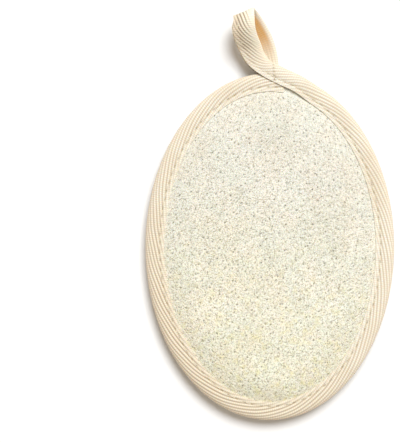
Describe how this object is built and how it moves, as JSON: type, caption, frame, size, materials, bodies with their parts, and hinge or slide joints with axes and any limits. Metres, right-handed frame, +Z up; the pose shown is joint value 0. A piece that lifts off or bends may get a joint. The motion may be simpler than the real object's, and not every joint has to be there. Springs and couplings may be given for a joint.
{
  "type": "oval loofah bath pad",
  "caption": "Flat oval bath pad with a natural loofah face, a terry back, a folded tape edge that runs on into a hanging loop, and an elastic band for the hand.",
  "frame": {"origin": "middle of the pad's oval, on the underside of the hand band that the pad lies on", "axes": "+Y along the pad's length towards the hanging loop, +X across it, +Z up out of the loofah face"},
  "size_m": [0.1289, 0.2132, 0.0217],
  "materials": {
    "loofah": "open natural fibre net, pale straw",
    "foam": "soft open foam, off-white",
    "terry": "looped cotton pile, cream",
    "elastic": "woven elastic with lengthwise ribs, cream",
    "twill_tape": "cotton twill tape, cream",
    "thread": "sewing thread, cream"
  },
  "bodies": {
    "root": {"loofah_sheet": "loofah", "foam_padding": "foam", "terry_back": "terry", "elastic_hand_band": "elastic", "binding_tape": "twill_tape", "seam_thread_face": "thread", "seam_thread_back": "thread", "loop_tack_thread": "thread"}
  },
  "joints": []
}
